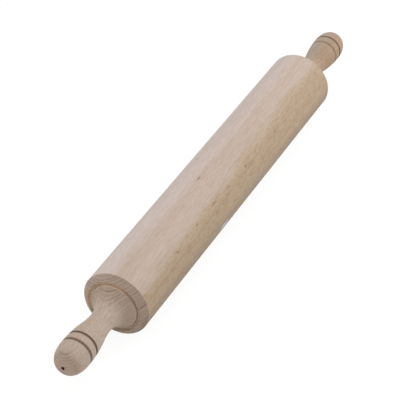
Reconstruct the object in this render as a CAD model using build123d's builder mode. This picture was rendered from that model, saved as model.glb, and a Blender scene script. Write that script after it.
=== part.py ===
from build123d import *
import math
import os

# A wooden rolling pin whose roller turns on ball bearings about a steel axle.
# Its two turned handles are fixed on the axle's ends. Their trumpet feet stand in a round
# recess in each end of the roller and hide the bearings.
# Frame: the origin is the middle of the roller, +X runs along it, +Z is up.
# Sizes are in millimetres. The outlines are drawn on the XY plane as (along, radius).

# Roller
roller_diameter = 70.0
roller_length = 442.4  # over the two crowned ends
crown_height = 5.2  # from the roller's rim to its end
crown_bulge = 0.38  # how far the crown swells past a straight cone
rim_round = 0.5
cove_diameter = 56.0  # of the shallow cove turned round the handle's foot
cove_depth = 1.2
cove_hollow = 0.28  # how far the cove dips below a straight cone
cove_edge_round = 0.3
recess_diameter = 50.0
recess_depth = 12.6
relief_depth = 1.0  # behind the bearing, so that its inner ring runs free
shoulder_width = 2.0  # of the step that the bearing is pressed against
axle_room = 1.0  # gap between the axle and the roller's bore

# Handle
foot_gap = 0.45  # between the foot and the recess wall
foot_stand = 0.35  # how far the foot's front edge stands out of the recess
foot_thickness = 10.0
foot_chamfer = 1.2
foot_edge_round = 0.5
neck_diameter = 23.6
neck_distance = 25.0  # from the foot's front edge to the narrowest place
neck_hollow_radius = 74.0
grip_diameter = 33.5
grip_distance = 72.3  # from the foot's front edge to the widest place
handle_reach = 96.3  # from the foot's front edge to the tip
tip_fullness_share = 0.71  # 0.55 is an ellipse, more is blunter
tip_hole_diameter = 3.2
glue_line = 0.05

# Two turned cuts with a bead between them
bead_setback = 5.2  # from the widest place back to the bead's middle
cut_spacing = 14.2  # over the steep outer walls of the two cuts
cut_width = 3.6
cut_wall_width = 0.7
cut_depth = 1.25
cut_slope_bulge = 0.15  # how far the bead's shoulders swell past a straight slope

# Axle
axle_diameter = 10.0
axle_hold = 72.0  # length of the axle inside each handle
axle_end_room = 3.0  # between the axle's end and the bottom of its bore
axle_chamfer = 1.0
drill_point_angle = 118.0

# Ball bearing
bearing_diameter = 26.0
bearing_width = 8.0
ring_edge_round = 0.3
ball_diameter = 4.76
ball_count = 7
ball_play = 0.03
raceway_share = 0.515  # raceway radius, as a share of the ball's diameter
shoulder_share = 0.62  # raceway shoulders, as a share of the ball's radius from the pitch circle
cage_wall_share = 0.38  # half of the cage's wall, as a share of the ball's radius
cage_back_share = 1.25  # from the balls' plane to the cage's back, as a share of the ball's radius
cage_front_share = 0.62  # from the balls' plane to the cage's prongs, the same
cage_play = 0.12
shield_thickness = 0.3
shield_inset = 0.35
shield_seat_width = 0.9
shield_gap = 0.2
press_fit = 0.01  # pressed pieces are drawn this far apart

# Support ring and retaining clip
support_ring_diameter = 16.0
support_ring_thickness = 1.2
clip_thickness = 1.0
clip_play = 0.1
clip_groove_depth = 0.2
clip_width = 1.8
clip_gap = 2.6
clip_lug_radius = 1.6
clip_lug_hole_diameter = 1.5

overrun = 5.0  # how far a cut runs past what it cuts

# Places along the axis, at the right-hand end
roller_end = roller_length / 2
rim_at = roller_end - crown_height
cove_bottom = roller_end - cove_depth
recess_floor = roller_end - recess_depth
seat_floor = recess_floor - bearing_width
bearing_at = recess_floor - bearing_width / 2
clip_at = recess_floor + support_ring_thickness
foot_front = roller_end + foot_stand
foot_back = foot_front - foot_thickness
neck_at = foot_front + neck_distance
grip_at = foot_front + grip_distance
tip_at = foot_front + handle_reach
bead_at = grip_at - bead_setback
axle_end = foot_back + axle_hold
bore_bottom = axle_end + axle_end_room

# Radii
roller_radius = roller_diameter / 2
cove_radius = cove_diameter / 2
recess_radius = recess_diameter / 2
foot_radius = recess_radius - foot_gap
neck_radius = neck_diameter / 2
grip_radius = grip_diameter / 2
axle_radius = axle_diameter / 2
axle_bore_radius = axle_radius + glue_line
roller_bore_radius = axle_radius + axle_room
tip_hole_radius = tip_hole_diameter / 2
bearing_radius = bearing_diameter / 2
seat_radius = bearing_radius + press_fit
relief_radius = seat_radius - shoulder_width
ring_bore_radius = axle_radius + press_fit
pitch_radius = (bearing_radius + axle_radius) / 2
ball_radius = ball_diameter / 2
raceway_radius = raceway_share * ball_diameter
inner_shoulder = pitch_radius - shoulder_share * ball_radius
outer_shoulder = pitch_radius + shoulder_share * ball_radius
shield_seat_radius = outer_shoulder + shield_seat_width
clip_bore_radius = axle_radius - clip_groove_depth + press_fit

# The grip's outline is two arcs, tangent to each other and level at the neck and the widest place
grip_run = grip_distance - neck_distance
grip_rise = grip_radius - neck_radius
grip_slope = 2 * math.atan2(grip_rise, grip_run)
grip_long_radius = grip_run / math.sin(grip_slope) - neck_hollow_radius

os.makedirs("parts", exist_ok=True)


def grip_surface(along):
    """Radius of the grip's long arc at a place along the axis."""
    drop = grip_long_radius - math.sqrt(grip_long_radius**2 - (grip_at - along) ** 2)
    return grip_radius - drop


def write(piece, name):
    piece.part.label = name
    export_step(piece.part, f"parts/{name}.step")


def write_pair(piece, name):
    """Write the right-hand piece, and its mirror image for the left-hand end."""
    with BuildPart() as other:
        mirror(piece.part, about=Plane.YZ)
    write(piece, f"{name}_right")
    write(other, f"{name}_left")


# Roller: its bore, bearing seats, recesses and coves are part of the turned outline
with BuildPart() as roller:
    with BuildSketch(Plane.XY) as outline:
        with BuildLine():
            Polyline(
                (cove_bottom, recess_radius),
                (recess_floor, recess_radius),
                (recess_floor, seat_radius),
                (seat_floor, seat_radius),
                (seat_floor, relief_radius),
                (seat_floor - relief_depth, relief_radius),
                (seat_floor - relief_depth, roller_bore_radius),
                (0, roller_bore_radius),
                (0, roller_radius),
                (rim_at, roller_radius),
            )
            SagittaArc((rim_at, roller_radius), (roller_end, cove_radius), crown_bulge)
            SagittaArc((roller_end, cove_radius), (cove_bottom, recess_radius), -cove_hollow)
        make_face()
        cove_edge = outline.vertices().sort_by(Axis.X)[-1]
        fillet(cove_edge, cove_edge_round)
        rim = outline.vertices().group_by(Axis.Y)[-1].sort_by(Axis.X)[-1]
        fillet(rim, rim_round)
        mirror(about=Plane.YZ)
    revolve(axis=Axis.X)
write(roller, "roller")

# Handle: a turned outline of arcs, then the two cuts, then the drilled bore
with BuildPart() as handle:
    with BuildSketch(Plane.XY) as outline:
        with BuildLine():
            TangentArc((neck_at, neck_radius), (foot_front, foot_radius), tangent=(-1, 0))
            hollow = JernArc(
                (neck_at, neck_radius), (1, 0), neck_hollow_radius, math.degrees(grip_slope)
            )
            TangentArc((grip_at, grip_radius), hollow @ 1, tangent=(-1, 0))
            Bezier(
                (grip_at, grip_radius),
                (grip_at + tip_fullness_share * (tip_at - grip_at), grip_radius),
                (tip_at, tip_fullness_share * grip_radius),
                (tip_at, 0),
            )
            Polyline(
                (tip_at, 0),
                (foot_back, 0),
                (foot_back, foot_radius - foot_chamfer),
                (foot_back + foot_chamfer, foot_radius),
                (foot_front, foot_radius),
            )
        make_face()
        foot_edge = outline.vertices().group_by(Axis.Y)[-1].sort_by(Axis.X)[-1]
        fillet(foot_edge, foot_edge_round)
    revolve(axis=Axis.X)

    # The cuts mirror each other: steep outside, with a slope up to the bead between them
    for side in (-1, 1):
        wall_top = bead_at + side * cut_spacing / 2
        bottom = wall_top - side * cut_wall_width
        slope_top = wall_top - side * cut_width
        floor_radius = grip_surface(bottom) - cut_depth
        with BuildSketch(Plane.XY):
            with BuildLine():
                SagittaArc(
                    (bottom, floor_radius),
                    (slope_top, grip_surface(slope_top)),
                    -side * cut_slope_bulge,
                )
                Polyline(
                    (slope_top, grip_surface(slope_top)),
                    (slope_top, grip_radius + overrun),
                    (wall_top, grip_radius + overrun),
                    (wall_top, grip_surface(wall_top)),
                    (bottom, floor_radius),
                )
            make_face()
        revolve(axis=Axis.X, mode=Mode.SUBTRACT)

    # The bore for the axle ends in a drill point, and a vent hole goes on to the tip
    point_length = (axle_bore_radius - tip_hole_radius) / math.tan(math.radians(drill_point_angle / 2))
    with BuildSketch(Plane.XY):
        with BuildLine():
            Polyline(
                (foot_back, 0),
                (foot_back, axle_bore_radius),
                (bore_bottom, axle_bore_radius),
                (bore_bottom + point_length, tip_hole_radius),
                (tip_at + overrun, tip_hole_radius),
                (tip_at + overrun, 0),
                close=True,
            )
        make_face()
    revolve(axis=Axis.X, mode=Mode.SUBTRACT)
write_pair(handle, "handle")

# Axle: one rod, with a groove for a clip outside each bearing
with BuildPart() as axle:
    with BuildSketch(Plane.XY) as outline:
        with BuildLine():
            Polyline(
                (0, 0),
                (0, axle_radius),
                (clip_at, axle_radius),
                (clip_at, axle_radius - clip_groove_depth),
                (clip_at + clip_thickness + clip_play, axle_radius - clip_groove_depth),
                (clip_at + clip_thickness + clip_play, axle_radius),
                (axle_end - axle_chamfer, axle_radius),
                (axle_end, axle_radius - axle_chamfer),
                (axle_end, 0),
                close=True,
            )
        make_face()
        mirror(about=Plane.YZ)
    revolve(axis=Axis.X)
write(axle, "axle")

# Outer ring: a raceway groove inside, and a step at each face for a shield
with BuildPart() as outer_ring:
    with BuildSketch(Plane.XY) as outline:
        with Locations((bearing_at, (outer_shoulder + bearing_radius) / 2)):
            Rectangle(bearing_width, bearing_radius - outer_shoulder)
        outside_corners = outline.vertices().group_by(Axis.Y)[-1]
        fillet(outside_corners, ring_edge_round)
        with Locations((bearing_at, pitch_radius + ball_radius + ball_play - raceway_radius)):
            Circle(raceway_radius, mode=Mode.SUBTRACT)
        shield_step = shield_inset + shield_thickness
        for side in (-1, 1):
            step_middle = bearing_at + side * (bearing_width - shield_step) / 2
            with Locations((step_middle, (outer_shoulder + shield_seat_radius) / 2)):
                Rectangle(shield_step, shield_seat_width, mode=Mode.SUBTRACT)
    revolve(axis=Axis.X)
write_pair(outer_ring, "bearing_outer_ring")

# Inner ring: the same groove on its outside
with BuildPart() as inner_ring:
    with BuildSketch(Plane.XY) as outline:
        with Locations((bearing_at, (ring_bore_radius + inner_shoulder) / 2)):
            Rectangle(bearing_width, inner_shoulder - ring_bore_radius)
        bore_corners = outline.vertices().group_by(Axis.Y)[0]
        fillet(bore_corners, ring_edge_round)
        with Locations((bearing_at, pitch_radius - ball_radius - ball_play + raceway_radius)):
            Circle(raceway_radius, mode=Mode.SUBTRACT)
    revolve(axis=Axis.X)
write_pair(inner_ring, "bearing_inner_ring")

# Balls, one solid each
with BuildPart(Plane.YZ.offset(bearing_at)) as balls:
    with PolarLocations(pitch_radius, ball_count):
        Sphere(ball_radius)
write_pair(balls, "bearing_balls")

# Cage: a moulded ring whose pockets are open on one side, so that it snaps over the balls
with BuildPart(Plane.YZ.offset(bearing_at)) as cage:
    cage_back = bearing_at - cage_back_share * ball_radius
    cage_front = bearing_at + cage_front_share * ball_radius
    with BuildSketch(Plane.XY):
        with Locations(((cage_back + cage_front) / 2, pitch_radius)):
            Rectangle(cage_front - cage_back, 2 * cage_wall_share * ball_radius)
    revolve(axis=Axis.X)
    with PolarLocations(pitch_radius, ball_count):
        Sphere(ball_radius + cage_play, mode=Mode.SUBTRACT)
write_pair(cage, "bearing_cage")

# Shields: thin discs pressed into the steps of the outer ring
for shield_name, side in (("front_shield", 1), ("back_shield", -1)):
    shield_middle = bearing_at + side * (bearing_width / 2 - shield_inset - shield_thickness / 2)
    shield_bore = inner_shoulder + shield_gap
    shield_rim = shield_seat_radius - press_fit
    with BuildPart() as shield:
        with BuildSketch(Plane.XY):
            with Locations((shield_middle, (shield_bore + shield_rim) / 2)):
                Rectangle(shield_thickness, shield_rim - shield_bore)
        revolve(axis=Axis.X)
    write_pair(shield, shield_name)

# Support ring: a hard washer between the inner ring and the clip
with BuildPart() as support_ring:
    with BuildSketch(Plane.YZ.offset(recess_floor)):
        Circle(support_ring_diameter / 2)
        Circle(ring_bore_radius, mode=Mode.SUBTRACT)
    extrude(amount=support_ring_thickness)
write_pair(support_ring, "support_ring")

# Retaining clip: a sprung ring, thickest opposite its gap, with two lugs for the pliers
with BuildPart() as clip:
    with BuildSketch(Plane.YZ.offset(clip_at)):
        with Locations((0, -clip_width / 4)):
            Circle(clip_bore_radius + clip_width * 3 / 4)
        lug_height = clip_bore_radius + clip_lug_radius
        lug_side = clip_gap / 2 + clip_lug_radius
        with Locations((-lug_side, lug_height), (lug_side, lug_height)):
            Circle(clip_lug_radius)
            Circle(clip_lug_hole_diameter / 2, mode=Mode.SUBTRACT)
        Circle(clip_bore_radius, mode=Mode.SUBTRACT)
        with Locations((0, lug_height)):
            Rectangle(clip_gap, 2 * clip_lug_radius + clip_width, mode=Mode.SUBTRACT)
    extrude(amount=clip_thickness)
write_pair(clip, "retaining_clip")
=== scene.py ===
import bpy
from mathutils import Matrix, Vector


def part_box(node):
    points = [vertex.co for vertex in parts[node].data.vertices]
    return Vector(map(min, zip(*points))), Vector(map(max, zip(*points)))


# A wooden rolling pin whose roller turns on ball bearings about a steel axle. The two
# handles are fixed on the axle. All lengths are in metres, and the pin lies along X.
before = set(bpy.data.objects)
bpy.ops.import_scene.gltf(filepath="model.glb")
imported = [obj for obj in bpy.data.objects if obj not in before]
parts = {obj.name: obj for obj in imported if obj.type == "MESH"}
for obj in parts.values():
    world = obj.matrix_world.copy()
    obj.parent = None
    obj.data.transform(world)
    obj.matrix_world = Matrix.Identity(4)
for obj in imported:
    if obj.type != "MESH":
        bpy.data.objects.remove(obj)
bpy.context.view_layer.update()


# Roller: one cylinder turned from raw beech and fine-sanded, left without oil or lacquer.
# The ends are slightly crowned, with a turned recess that hides the bearing. The log's heart
# lies outside the cylinder, so the growth rings cross its ends as flat arcs.

def shade(red, green, blue):
    """A colour given as it looks, from 0 to 255, made linear for a shader's socket."""
    parts_of_light = []
    for value in (red, green, blue):
        value /= 255
        parts_of_light.append(value / 12.92 if value < 0.04045 else ((value + 0.055) / 1.055) ** 2.4)
    return (*parts_of_light, 1)


def new_material(name):
    """A new material, with its node tree and its surface shader."""
    material = bpy.data.materials.new(name)
    material.use_nodes = True
    return material, material.node_tree, material.node_tree.nodes["Principled BSDF"]


def fill(tree, made, inputs):
    """Link or set a node's inputs, given by name or number."""
    for name, value in inputs.items():
        if isinstance(value, bpy.types.NodeSocket):
            tree.links.new(value, made.inputs[name])
        else:
            made.inputs[name].default_value = value


def node(tree, kind, inputs=None, **settings):
    made = tree.nodes.new(kind)
    for name, value in settings.items():
        setattr(made, name, value)
    fill(tree, made, inputs or {})
    return made


def maths(tree, operation, *values):
    return node(tree, "ShaderNodeMath", dict(enumerate(values)), operation=operation).outputs[0]


def times(tree, first, second):
    return maths(tree, "MULTIPLY", first, second)


def vectors(tree, operation, *values):
    """Vector maths. Lengths and dot products come out as a number, and the rest as a vector."""
    made = node(tree, "ShaderNodeVectorMath", dict(enumerate(values)), operation=operation)
    return made.outputs["Value" if operation in ("LENGTH", "DOT_PRODUCT") else "Vector"]


def stretch(tree, vector, factors):
    return vectors(tree, "MULTIPLY", vector, factors)


def lengthwise(tree, vector):
    """How far a vector goes along the pin."""
    return node(tree, "ShaderNodeSeparateXYZ", {0: vector}).outputs[0]


def off_axis(tree, vector):
    """How far a vector goes across the pin, in any direction."""
    return vectors(tree, "LENGTH", stretch(tree, vector, (0, 1, 1)))


def noise(tree, vector, scale, detail=2.0, roughness=0.5):
    inputs = {"Vector": vector, "Scale": scale, "Detail": detail, "Roughness": roughness}
    return node(tree, "ShaderNodeTexNoise", inputs).outputs[0]


def grain(tree, vector, along, across, detail=2.0, roughness=0.5):
    """Noise with so many patches to the metre along the pin, and across it."""
    return noise(tree, stretch(tree, vector, (along, across, across)), 1.0, detail, roughness)


def rise(tree, value, start, end, low=0.0, high=1.0):
    """A smooth step from low to high while the value goes from start to end."""
    inputs = {"Value": value, "From Min": start, "From Max": end, "To Min": low, "To Max": high}
    return node(tree, "ShaderNodeMapRange", inputs, interpolation_type="SMOOTHSTEP").outputs[0]


def tint(tree, share, under, over, way="MIX"):
    """Lay a colour over another, in a share from 0 to 1."""
    inputs = {0: share, 6: under, 7: over}
    return node(tree, "ShaderNodeMix", inputs, data_type="RGBA", blend_type=way).outputs[2]


def bump(tree, height, strength, distance):
    inputs = {"Strength": strength, "Distance": distance, "Height": height}
    return node(tree, "ShaderNodeBump", inputs).outputs[0]


def beech(
    name, heart, lean, ring_width, pale_way, pale_from, pale_ends, tan_from,
    pale, wood, tan, line, ends, speckled, seed,
):
    """Raw beech, as the material, its colour and the place on the piece.

    The log's heart passes beside the piece's axis at heart, and leans a little from it. The
    wood is tan farther from the heart than tan_from, so a piece that doesn't reach so far has
    no tan side. It is pale past pale_from in the direction pale_way, partly paler wood and
    partly painted light, and the end grain shows the share pale_ends of that. The colour
    line draws the rings and the fibres, and ends darkens the end grain. Off the tan side only
    the share speckled of the flecks shows.
    """
    material, tree, surface = new_material(name)
    place = node(tree, "ShaderNodeTexCoord")
    piece = place.outputs["Object"]
    log = node(tree, "ShaderNodeMapping", {
        "Vector": piece, "Location": (seed, -heart[0], -heart[1]), "Rotation": (0, *lean),
    }).outputs[0]

    # The rings wander sideways along the log
    wander_by = 0.003
    wander = node(tree, "ShaderNodeTexNoise", {"Vector": stretch(tree, log, (4, 12, 12)), "Scale": 1.0})
    shift = vectors(tree, "SUBTRACT", wander.outputs[1], (0.5, 0.5, 0.5))
    grown = vectors(tree, "ADD", log, stretch(tree, shift, (0, wander_by, wander_by)))
    along, side, height = node(tree, "ShaderNodeSeparateXYZ", {0: grown}).outputs
    from_heart = off_axis(tree, grown)
    round_heart = maths(tree, "ARCTAN2", height, side)

    # Growth rings, each darker towards its outer edge, and no two alike
    good_years = node(
        tree, "ShaderNodeTexNoise", {"W": from_heart, "Scale": 120.0}, noise_dimensions="1D"
    ).outputs[0]
    age = maths(tree, "MULTIPLY_ADD", from_heart, 1 / ring_width, times(tree, good_years, 2.0))
    late_wood = rise(tree, maths(tree, "FRACT", age), 0.3, 0.9)
    year = maths(tree, "FLOOR", age)
    year_dark = node(tree, "ShaderNodeTexWhiteNoise", {"W": year}, noise_dimensions="1D").outputs[0]
    ring = times(tree, late_wood, rise(tree, year_dark, -0.5, 1.0))
    patch = grain(tree, log, along=25, across=110)
    ring = times(tree, ring, rise(tree, patch, 0.3, 0.6, 0.45))

    # End grain, seen wherever the surface faces along the log
    facing = lengthwise(tree, place.outputs["Normal"])
    end_grain = rise(tree, maths(tree, "ABSOLUTE", facing), 0.2, 0.75)

    # Paler wood with painted light on one side, and tan wood on another, with soft ragged edges
    ragged_by = 0.008
    pale_edge = 0.009
    tan_edge = 0.007
    blotch = grain(tree, log, along=12, across=90, detail=3.0)
    ragged = maths(tree, "MULTIPLY_ADD", blotch, 2 * ragged_by, -ragged_by)
    pale_and_lit_side = maths(tree, "ADD", vectors(tree, "DOT_PRODUCT", piece, (0, *pale_way)), ragged)
    pale_and_lit_side = rise(tree, pale_and_lit_side, pale_from - pale_edge, pale_from + pale_edge)
    pale_and_lit_side = times(tree, pale_and_lit_side, rise(tree, end_grain, 0, 1, 1, pale_ends))
    colour = tint(tree, pale_and_lit_side, wood, pale)
    ring = times(tree, ring, rise(tree, pale_and_lit_side, 0, 1, 1, 0.4))
    tan_side = rise(tree, maths(tree, "ADD", from_heart, ragged), tan_from - tan_edge, tan_from + tan_edge)
    tan_side = times(tree, tan_side, rise(tree, end_grain, 0, 1, 1, 0.2))
    colour = tint(tree, tan_side, colour, tan)

    # Fine tan speckles, broad darker bands, dark fibres, and the rings, strongest on end grain
    speckles = grain(tree, log, along=140, across=640, detail=3.0, roughness=0.8)
    speckles = rise(tree, speckles, 0.45, 0.66, 0, 0.5)
    speckles = times(tree, speckles, rise(tree, tan_side, 0, 1, speckled, 1))
    colour = tint(tree, speckles, colour, shade(176, 133, 101))
    band = grain(tree, log, along=3, across=110, detail=3.0)
    colour = tint(tree, rise(tree, band, 0.3, 0.7, 0, 0.2), colour, shade(222, 208, 196), "MULTIPLY")
    fibre = grain(tree, log, along=60, across=1700, roughness=0.6)
    colour = tint(tree, rise(tree, fibre, 0.35, 0.7, 0, 0.2), colour, line)
    colour = tint(tree, end_grain, colour, ends, "MULTIPLY")
    colour = tint(tree, times(tree, ring, rise(tree, end_grain, 0, 1, 0.09, 0.72)), colour, line)

    # Rays: thin sheets that run out from the heart and show as short dark flecks
    sheets = node(tree, "ShaderNodeCombineXYZ", {
        0: times(tree, along, 300.0), 1: times(tree, round_heart, 70.0), 2: times(tree, from_heart, 300.0),
    }).outputs[0]
    fleck = rise(tree, noise(tree, sheets, 1.0, detail=1.0), 0.58, 0.70)
    fleck = times(tree, fleck, rise(tree, tan_side, 0.2, 0.9, speckled, 1))
    colour = tint(tree, times(tree, fleck, 0.3), colour, shade(150, 112, 84))

    # Raw wood is dull, a little smoother on the rays, with raised grain and the lathe's fine rings
    dull = maths(tree, "ADD", rise(tree, fibre, 0.2, 0.8, 0.56, 0.7), times(tree, fleck, -0.12))
    lathe = grain(tree, piece, along=2600, across=60, detail=1.0)
    raised = maths(tree, "ADD", times(tree, fibre, 0.7), times(tree, ring, -0.3))
    raised = maths(tree, "MULTIPLY_ADD", lathe, 0.35, raised)
    fill(tree, surface, {
        "Base Color": colour, "Roughness": dull, "Specular IOR Level": 0.2,
        "Normal": bump(tree, raised, strength=0.35, distance=0.00012),
    })
    return material, colour, piece


def stain(tree, colour, piece, centre, size, depth, stain_colour):
    """A small mark in the wood, as an oval blot with a ragged edge."""
    away = vectors(tree, "SUBTRACT", piece, centre)
    reach = vectors(tree, "LENGTH", stretch(tree, away, tuple(1 / length for length in size)))
    reach = maths(tree, "MULTIPLY_ADD", noise(tree, piece, 500.0), 0.8, reach)
    return tint(tree, rise(tree, reach, 0.7, 1.4, depth, 0), colour, stain_colour)


roller_wood, roller_colour, roller_place = beech(
    "roller_beech", heart=(0.043, 0.1066), lean=(0.0287, -0.0116), ring_width=0.0027,
    pale_way=(1, 0), pale_from=0.0035, pale_ends=0.05, tan_from=0.1032, pale=shade(216, 202, 195),
    wood=shade(205, 187, 173), tan=shade(188, 168, 143), line=shade(126, 99, 81), ends=shade(222, 220, 217),
    speckled=0.25, seed=0.0,
)
roller_tree = roller_wood.node_tree

# Brown dashes and specks, as each one's centre, half size and depth of colour, and a white streak painted as
# a highlight on the lower edge
roller_marks = (
    ((-0.0425, -0.0015, 0.0350), (0.0052, 0.0012, 0.0012), 0.6),
    ((0.0865, -0.0276, 0.0216), (0.0030, 0.0016, 0.0016), 0.5),
    ((0.0139, -0.0273, 0.0219), (0.0030, 0.0018, 0.0018), 0.6),
    ((0.0243, -0.0290, 0.0197), (0.0090, 0.0030, 0.0030), 0.22),
    ((-0.0064, 0.0182, 0.0299), (0.0030, 0.0014, 0.0014), 0.5),
    ((-0.0594, -0.0267, 0.0226), (0.0060, 0.0024, 0.0024), 0.3),
    ((-0.1432, -0.0285, 0.0204), (0.0026, 0.0014, 0.0014), 0.45),
    ((-0.0971, -0.0269, 0.0224), (0.0036, 0.0014, 0.0014), 0.3),
    ((-0.0281, -0.0270, 0.0223), (0.0050, 0.0018, 0.0018), 0.3),
)
for centre, size, depth in roller_marks:
    roller_colour = stain(roller_tree, roller_colour, roller_place, centre, size, depth, shade(120, 88, 64))
# A painted highlight: a white streak along the roller's lower edge
roller_colour = stain(
    roller_tree, roller_colour, roller_place, centre=(-0.0500, -0.0340, -0.0080),
    size=(0.0150, 0.0014, 0.0030), depth=0.9, stain_colour=shade(236, 236, 238),
)

# Painted shade darkens the low edge on the tan side, with a cool grey
shaded_underside_way = (0, -0.9, -0.44)
painted_shade_underside = rise(roller_tree, vectors(roller_tree, "DOT_PRODUCT", roller_place, shaded_underside_way), 0.0285, 0.0345)
roller_colour = tint(roller_tree, painted_shade_underside, roller_colour, shade(232, 233, 237), "MULTIPLY")

# The shallow cove round each handle's foot was cut with the tool's side, and is a little warmer.
# On the upper side it is warmer still, as painted warm bounce light, and painted light makes
# the recess behind it paler there, where the gap would be in shade.
end_from = 0.205
cove_radius = 0.0281
recess_radius = 0.0250
upper_lit_way = (0, 0.6, 0.8)
gap_painted_light = shade(226, 198, 170)
at_ends = maths(roller_tree, "ABSOLUTE", lengthwise(roller_tree, roller_place))
at_ends = maths(roller_tree, "GREATER_THAN", at_ends, end_from)
roller_radius = off_axis(roller_tree, roller_place)
# The upper side, which carries the painted light below
upper_lit_side = rise(roller_tree, vectors(roller_tree, "DOT_PRODUCT", roller_place, upper_lit_way), -0.004, 0.018)
upper_lit_side = times(roller_tree, at_ends, upper_lit_side)
in_cove = rise(roller_tree, roller_radius, cove_radius, cove_radius + 0.0006, 1, 0)
in_cove = times(roller_tree, times(roller_tree, at_ends, in_cove), rise(roller_tree, upper_lit_side, 0, 1, 0.3, 1))
roller_colour = tint(roller_tree, in_cove, roller_colour, (1.08, 0.98, 0.83, 1), "MULTIPLY")
# Painted light: the recess is paler on the upper side
in_recess = rise(roller_tree, roller_radius, recess_radius, recess_radius + 0.0002, 1, 0)
roller_colour = tint(roller_tree, times(roller_tree, upper_lit_side, in_recess), roller_colour, gap_painted_light)
fill(roller_tree, roller_tree.nodes["Principled BSDF"], {"Base Color": roller_colour})
parts["roller"].material_slots[0].material = roller_wood


# Handles: each is turned in one piece from raw beech, with a trumpet foot, a swelling grip
# and two cuts with a bead between them. The cuts are browned, partly burnt colour and partly
# painted shade, and a vent hole opens at the tip. The two handles come from different
# blanks, so their rings differ.

def handle_beech(name, cut_brown_and_shade, **blank):
    """Beech with the cuts browned so far, partly as painted shade, and painted shade in the vent hole. blank
    is how its wood grew.
    """
    material, colour, piece = beech(
        name, ring_width=0.0026, line=shade(120, 93, 76), ends=shade(232, 227, 222), speckled=0.6, **blank
    )
    tree = material.node_tree
    along = maths(tree, "ABSOLUTE", lengthwise(tree, piece))
    radius = off_axis(tree, piece)

    # Hands have darkened the grip and the tip a little, and not the foot
    foot_end, grip_start = 0.240, 0.270
    colour = tint(tree, rise(tree, along, foot_end, grip_start), colour, (0.93, 0.91, 0.90, 1), "MULTIPLY")

    # Each cut goes from its steep wall to where its slope meets the bead, and its brown fades there. The
    # brown is partly burnt colour and partly painted shade in the groove.
    fade = 0.0005
    slack = 0.00001
    for wall, slope_end in ((0.28155, 0.28515), (0.29575, 0.29205)):
        to_wall = maths(tree, "ABSOLUTE", maths(tree, "SUBTRACT", along, wall))
        to_slope_end = maths(tree, "ABSOLUTE", maths(tree, "SUBTRACT", along, slope_end))
        both = maths(tree, "ADD", to_wall, to_slope_end)
        inside = maths(tree, "LESS_THAN", both, abs(slope_end - wall) + slack)
        browned_and_shaded = rise(tree, to_slope_end, 0, fade, 0, cut_brown_and_shade)
        colour = tint(tree, times(tree, inside, browned_and_shaded), colour, shade(130, 108, 91))

    # Painted light makes the foot's side paler on the upper side, and a painted highlight lies along its
    # front edge there
    foot_edge, foot_side = 0.0238, 0.0244
    upper_lit_side = rise(tree, vectors(tree, "DOT_PRODUCT", piece, upper_lit_way), 0.004, 0.018)
    edge_painted_highlight = times(tree, upper_lit_side, rise(tree, radius, foot_edge, foot_edge + 0.0005, 0, 0.4))
    colour = tint(tree, edge_painted_highlight, colour, shade(214, 190, 168))
    side_painted_light = times(tree, upper_lit_side, rise(tree, radius, foot_side, foot_side + 0.0001))
    colour = tint(tree, side_painted_light, colour, gap_painted_light)

    # Painted shade darkens the vent hole on the axis, with a soft rim
    hole_inside, hole_outside = 0.0015, 0.0022
    hole_painted_shade = rise(tree, radius, hole_inside, hole_outside, 0.92, 0)
    colour = tint(tree, hole_painted_shade, colour, shade(40, 30, 24))
    fill(tree, tree.nodes["Principled BSDF"], {"Base Color": colour})
    return material


parts["handle_left"].material_slots[0].material = handle_beech(
    "handle_beech_left", cut_brown_and_shade=0.95, heart=(0.0326, 0.0865), lean=(0.08, -0.08),
    pale_way=(-0.75, -0.66), pale_from=0.008, pale_ends=0.8, tan_from=0.2, pale=shade(205, 190, 175),
    wood=shade(202, 187, 172), tan=shade(201, 176, 153), seed=0.3,
)
parts["handle_right"].material_slots[0].material = handle_beech(
    "handle_beech_right", cut_brown_and_shade=0.3, heart=(0.050, 0.030), lean=(0.02, 0.0),
    pale_way=(1, 0), pale_from=0.004, pale_ends=0.5, tan_from=0.056, pale=shade(196, 184, 169),
    wood=shade(186, 173, 157), tan=shade(187, 164, 141), seed=1.7,
)


# Axle and support rings: drawn bright steel, turned to length. The rod runs through the
# roller and is glued into both handles. A hard ring stands between each bearing and its clip.

def bright_steel(name, colour, roughness, lines_along, lines_round, mottle=0.12):
    """Machined steel, with tool lines that run along or round the X axis."""
    material, tree, surface = new_material(name)
    piece = node(tree, "ShaderNodeTexCoord").outputs["Object"]
    drawn = grain(tree, piece, along=40, across=3000)
    section = node(tree, "ShaderNodeCombineXYZ", {0: lengthwise(tree, piece), 1: off_axis(tree, piece)})
    turned = noise(tree, section.outputs[0], 6000.0)
    lines = maths(tree, "ADD", times(tree, drawn, lines_along), times(tree, turned, lines_round))
    film = noise(tree, piece, 120.0, 4.0, 0.6)
    shine = tint(tree, rise(tree, film, 0.35, 0.7, 0, mottle), colour, shade(120, 112, 100))
    shine = tint(tree, times(tree, lines, 0.15), shine, shade(90, 90, 92))
    uneven = rise(tree, film, 0.3, 0.7, roughness - 0.05, roughness + 0.1)
    fill(tree, surface, {
        "Base Color": shine, "Metallic": 1.0,
        "Roughness": maths(tree, "ADD", uneven, times(tree, lines, 0.08)),
        "Normal": bump(tree, lines, strength=0.25, distance=0.00003),
    })
    return material


axle_steel = bright_steel("axle_steel", shade(196, 197, 199), 0.32, lines_along=1.0, lines_round=0.2)
for name in ("axle", "support_ring_left", "support_ring_right"):
    parts[name].material_slots[0].material = axle_steel


# Ball bearings: ground rings with a polished raceway, seven polished balls and a natural
# nylon cage that snaps over them. A thin pressed shield closes each side.

bearing_steel = bright_steel("bearing_steel", shade(204, 204, 206), 0.22, lines_along=0.0, lines_round=1.0)
ball_steel = bright_steel(
    "ball_steel", shade(222, 222, 224), 0.08, lines_along=0.0, lines_round=0.15, mottle=0.05
)
shield_steel = bright_steel(
    "shield_steel", shade(188, 187, 184), 0.38, lines_along=0.0, lines_round=0.7, mottle=0.2
)

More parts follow.
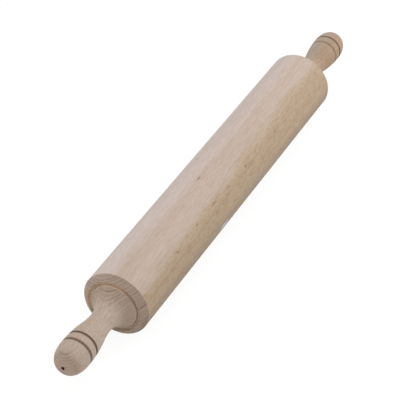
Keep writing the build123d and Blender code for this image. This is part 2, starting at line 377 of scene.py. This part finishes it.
cage_nylon, nylon_tree, nylon_surface = new_material("cage_nylon")
nylon_piece = node(nylon_tree, "ShaderNodeTexCoord").outputs["Object"]
nylon_flow = grain(nylon_tree, nylon_piece, along=300, across=90, detail=3.0)
nylon_colour = tint(
    nylon_tree, rise(nylon_tree, nylon_flow, 0.3, 0.7), shade(226, 214, 184), shade(208, 192, 156)
)
nylon_grease = rise(nylon_tree, noise(nylon_tree, nylon_piece, 260.0, 3.0), 0.55, 0.7, 0, 0.4)
fill(nylon_tree, nylon_surface, {
    "Base Color": tint(nylon_tree, nylon_grease, nylon_colour, shade(170, 146, 92)),
    "Roughness": rise(nylon_tree, nylon_grease, 0, 0.4, 0.45, 0.2),
    "Normal": bump(nylon_tree, nylon_flow, strength=0.2, distance=0.00005),
})

for side in ("left", "right"):
    parts[f"bearing_outer_ring_{side}"].material_slots[0].material = bearing_steel
    parts[f"bearing_inner_ring_{side}"].material_slots[0].material = bearing_steel
    parts[f"bearing_balls_{side}"].material_slots[0].material = ball_steel
    parts[f"bearing_cage_{side}"].material_slots[0].material = cage_nylon
    parts[f"front_shield_{side}"].material_slots[0].material = shield_steel
    parts[f"back_shield_{side}"].material_slots[0].material = shield_steel


# Retaining clips: stamped from spring steel, hardened and phosphated black. Each snaps into
# a groove of the axle and holds the bearing's inner ring. Oil lies in the dull coating.

clip_steel, clip_tree, clip_surface = new_material("clip_steel")
clip_piece = node(clip_tree, "ShaderNodeTexCoord").outputs["Object"]
clip_coat = noise(clip_tree, clip_piece, 900.0, 4.0, 0.65)
clip_oil = noise(clip_tree, clip_piece, 180.0, 3.0)
fill(clip_tree, clip_surface, {
    "Base Color": tint(clip_tree, rise(clip_tree, clip_coat, 0.3, 0.7), shade(46, 46, 49), shade(74, 72, 70)),
    "Metallic": 0.6,
    "Roughness": rise(clip_tree, clip_oil, 0.3, 0.7, 0.35, 0.6),
    "Normal": bump(clip_tree, clip_coat, strength=0.3, distance=0.00003),
})
for side in ("left", "right"):
    parts[f"retaining_clip_{side}"].material_slots[0].material = clip_steel


# Floor: a plain white plane that the roller lies on. The camera sees it nearly white, and
# a part of its own shade is kept, so that the pin's soft shadow shows.

def seen_directly(tree):
    """1 for what the camera sees, also mirrored or through a clear piece, and 0 for what gives light."""
    path = node(tree, "ShaderNodeLightPath").outputs
    bent = maths(tree, "MAXIMUM", path["Is Glossy Ray"], path["Is Transmission Ray"])
    return maths(tree, "MAXIMUM", path["Is Camera Ray"], bent)


bpy.ops.object.select_all(action="DESELECT")
bpy.ops.mesh.primitive_plane_add(size=12, location=(0, 0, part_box("roller")[0].z))
floor = bpy.context.object
floor.name = "floor"
white_share = 0.86
floor_white, floor_tree, floor_surface = new_material("floor_white")
fill(floor_tree, floor_surface, {
    "Base Color": (0.8, 0.8, 0.8, 1), "Roughness": 0.9, "Specular IOR Level": 0.1,
})
white = node(floor_tree, "ShaderNodeEmission", {"Color": (1, 1, 1, 1), "Strength": 1.07})
glow = node(floor_tree, "ShaderNodeMixShader", {
    0: times(floor_tree, seen_directly(floor_tree), white_share),
    1: floor_surface.outputs[0],
    2: white.outputs[0],
})
fill(floor_tree, floor_tree.nodes["Material Output"], {0: glow.outputs[0]})
floor.data.materials.append(floor_white)


# Light: an even room, seen white but lighting the wood by less, and five soft white lamps:
# overhead, from the right, from the left high and low, and one past the near end.

room_light = 0.37
room_white = 1.0
world = bpy.data.worlds.new("room")
bpy.context.scene.world = world
world.use_nodes = True
room_strength = node(world.node_tree, "ShaderNodeMapRange", {
    "Value": seen_directly(world.node_tree), "To Min": room_light, "To Max": room_white,
})
fill(world.node_tree, world.node_tree.nodes["Background"], {
    "Color": (1, 1, 1, 1), "Strength": room_strength.outputs[0],
})

# Each lamp's place, width, height and power. All of them face the middle of the roller
lamps = (
    ("overhead_lamp", (0.25, 0, 1.5), 1.6, 1.6, 8.7),
    ("right_lamp", (1.1, -1.1, 0.9), 1.2, 1.0, 15.8),
    ("left_lamp", (0, 1.6, 0.8), 1.2, 0.8, 3.8),
    ("low_lamp", (-0.6, 1.5, 0.15), 1.2, 0.3, 2.1),
    ("near_lamp", (-1.7, 0, 0.4), 1.0, 0.6, 7.4),
)
for name, location, width, height, energy in lamps:
    lamp_data = bpy.data.lights.new(name, "AREA")
    lamp_data.shape = "RECTANGLE"
    lamp_data.size = width
    lamp_data.size_y = height
    lamp_data.energy = energy
    lamp = bpy.data.objects.new(name, lamp_data)
    lamp.location = location
    lamp.rotation_euler = (-lamp.location).to_track_quat("-Z", "Y").to_euler()
    bpy.context.scene.collection.objects.link(lamp)


# Camera: a long lens, above the left-hand end, looking down along the pin. The picture's
# colours are shown as they come.

camera_way = Vector((0.71978, 0.35525, -0.59642))
camera_data = bpy.data.cameras.new("camera")
camera_data.lens = 160.25
camera_data.sensor_width = 36
camera_data.clip_end = 20
camera = bpy.data.objects.new("camera", camera_data)
camera.location = (-1.3454, -0.6461, 1.0878)
camera.rotation_euler = camera_way.to_track_quat("-Z", "Y").to_euler()
bpy.context.scene.collection.objects.link(camera)
bpy.context.scene.camera = camera
bpy.context.scene.view_settings.view_transform = "Standard"
